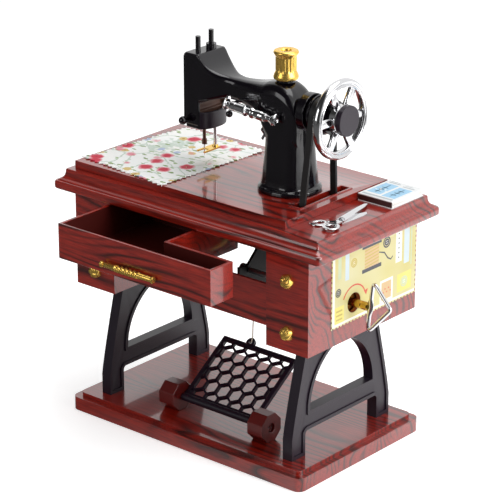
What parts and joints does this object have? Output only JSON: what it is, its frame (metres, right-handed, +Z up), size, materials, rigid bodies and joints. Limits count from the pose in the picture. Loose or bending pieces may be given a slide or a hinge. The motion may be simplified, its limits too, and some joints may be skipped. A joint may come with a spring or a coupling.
{
  "type": "music box",
  "caption": "wind-up music box shaped as a treadle sewing machine on a cabinet with an open drawer, grille treadle and handwheel",
  "frame": {"origin": "centre of the flat underside of the base", "axes": "+Z up, +X towards the handwheel and the winding key, -Y towards the drawer front"},
  "size_m": [0.1718, 0.1237, 0.188],
  "materials": {
    "mahogany_plastic": "glossy printed mahogany grain",
    "dark_plastic": "glossy dark red moulding",
    "satin_black": "satin with a fine texture",
    "gloss_black": "glossy",
    "chrome": "bright plated",
    "steel": "plain turned",
    "gold_plated": "bright gold plated",
    "brass": "turned and stamped",
    "belt_rubber": "matt",
    "string": "twisted cotton",
    "label_paper": "printed satin sticker",
    "cloth": "printed cotton with pinked edges",
    "card": "printed card cover"
  },
  "bodies": {
    "frame": {"base_plinth": "mahogany_plastic", "left_leg_frame": "satin_black", "right_leg_frame": "satin_black", "base_cover": "dark_plastic", "leg_screws": "steel", "left_treadle_post": "dark_plastic", "right_treadle_post": "dark_plastic", "treadle_axle": "steel", "cabinet_shell": "mahogany_plastic", "left_bottom_cover": "dark_plastic", "right_bottom_cover": "dark_plastic", "left_drawer_runner": "dark_plastic", "right_drawer_runner": "dark_plastic", "block_knobs": "gold_plated", "side_label": "label_paper", "table_top": "mahogany_plastic", "machine_bed": "mahogany_plastic", "front_body_shell": "gloss_black", "back_body_shell": "gloss_black", "pillar_screws": "steel", "face_plate": "gloss_black", "top_pins": "gloss_black", "tension_knob": "gloss_black", "bobbin_rod": "chrome", "rod_ball": "gloss_black", "thumb_lever": "chrome", "spool_pin": "gloss_black", "hub_rings": "gloss_black", "shaft_bush": "brass", "drive_belt": "belt_rubber", "movement_plate": "brass", "tone_comb": "steel", "comb_block": "steel", "cloth_mat": "cloth", "sewing_book": "card", "scissors_left": "chrome", "scissors_screw": "chrome"},
    "drawer": {"drawer_tray": "mahogany_plastic", "drawer_handle": "gold_plated"},
    "wheel": {"main_shaft": "steel", "needle_crank": "steel", "upper_pulley": "gloss_black", "handwheel": "chrome", "wheel_cap": "satin_black"},
    "key": {"winding_key": "brass", "key_bow": "chrome"},
    "barrel": {"spring_barrel": "brass", "mainspring": "steel", "drive_pulley": "gloss_black", "crank_shaft": "steel"},
    "cylinder": {"pinned_cylinder": "brass"},
    "governor": {"governor": "steel"},
    "treadle": {"treadle_grille": "satin_black", "treadle_string": "string"},
    "needle_slide": {"needle_bar": "steel", "needle": "chrome"},
    "presser_slide": {"presser_bar": "chrome", "presser_foot": "gold_plated"},
    "spool": {"thread_spool": "gold_plated"},
    "scissors_upper": {"scissors_right": "chrome"}
  },
  "joints": [
    {"name": "drawer_slide", "type": "slide", "parent": "frame", "child": "drawer", "axis": [0, 1, 0], "range_m": [-0.004, 0.0364]},
    {"name": "wheel_spin", "type": "hinge", "parent": "frame", "child": "wheel", "pos_m": [0.0576, -0.002, 0.162], "axis": [1, 0, 0], "continuous": true},
    {"name": "barrel_spin", "type": "hinge", "parent": "frame", "child": "barrel", "pos_m": [0.0565, -0.007, 0.0804], "axis": [1, 0, 0], "continuous": true},
    {"name": "key_wind", "type": "hinge", "parent": "frame", "child": "key", "pos_m": [0.081, -0.007, 0.0804], "axis": [1, 0, 0], "continuous": true},
    {"name": "cylinder_spin", "type": "hinge", "parent": "frame", "child": "cylinder", "pos_m": [0.0535, 0.0225, 0.0804], "axis": [0, 1, 0], "continuous": true},
    {"name": "governor_spin", "type": "hinge", "parent": "frame", "child": "governor", "pos_m": [0.0535, 0.0265, 0.069], "axis": [1, 0, 0], "continuous": true},
    {"name": "treadle_tilt", "type": "hinge", "parent": "frame", "child": "treadle", "pos_m": [0.0063, -0.0252, 0.0154], "axis": [1, 0, 0], "range_deg": [-14, 8], "deforming": ["treadle_string"]},
    {"name": "needle_stroke", "type": "slide", "parent": "frame", "child": "needle_slide", "axis": [0, 0, 1], "range_m": [-0.003, 0.004]},
    {"name": "presser_lift", "type": "slide", "parent": "frame", "child": "presser_slide", "axis": [0, 0, 1], "range_m": [-0.006, 0.001]},
    {"name": "spool_spin", "type": "hinge", "parent": "frame", "child": "spool", "pos_m": [0.0264, -0.002, 0.181], "axis": [0, 0, 1], "continuous": true},
    {"name": "scissors_hinge", "type": "hinge", "parent": "frame", "child": "scissors_upper", "pos_m": [0.0682, -0.0138, 0.1204], "axis": [0, 0, 1], "range_deg": [-8, 10]}
  ],
  "couplings": [
    {"joint": "wheel_spin", "follows": "barrel_spin", "ratio": 2.03},
    {"joint": "cylinder_spin", "follows": "barrel_spin", "ratio": 3},
    {"joint": "governor_spin", "follows": "barrel_spin", "ratio": 40}
  ]
}
